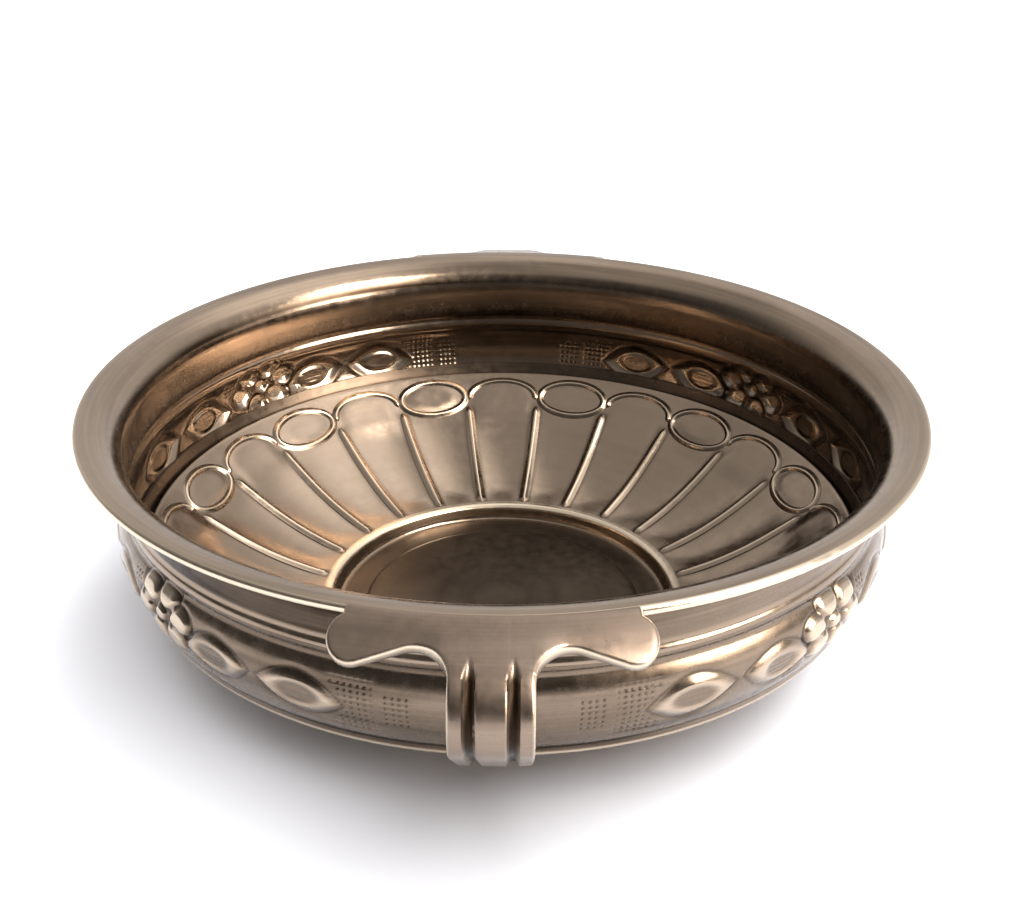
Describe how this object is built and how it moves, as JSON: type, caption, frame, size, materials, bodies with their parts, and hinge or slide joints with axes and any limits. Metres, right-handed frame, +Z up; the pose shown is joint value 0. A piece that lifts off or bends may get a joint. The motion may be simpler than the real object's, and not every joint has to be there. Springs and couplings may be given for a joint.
{
  "type": "brass urli bowl",
  "caption": "Wide shallow footed brass bowl with a flared rim, embossed belly, fluted inner pan and T-shaped handles at front and back, for floating flowers or candles.",
  "frame": {"origin": "middle of the foot, on the surface that the bowl stands on", "axes": "+Z up along the bowl's axis, +Y through the back handle, -Y through the front handle, +X to the right of someone facing the front handle"},
  "size_m": [0.3, 0.3546, 0.092],
  "materials": {
    "spun_brass": "spun, antiqued dark and relieved on the high places, satin",
    "chased_brass": "pressed and chased, antiqued and relieved, satin",
    "cast_brass": "cast, filed along its length, antiqued, matt satin",
    "braze": "brazing alloy, darkened, dull"
  },
  "bodies": {
    "root": {"upper_body": "spun_brass", "lower_pan": "chased_brass", "seam_braze": "braze", "handle_front": "cast_brass", "handle_back": "cast_brass", "rim_braze_front": "braze", "rim_braze_back": "braze", "belly_braze_front": "braze", "belly_braze_back": "braze"}
  },
  "joints": []
}
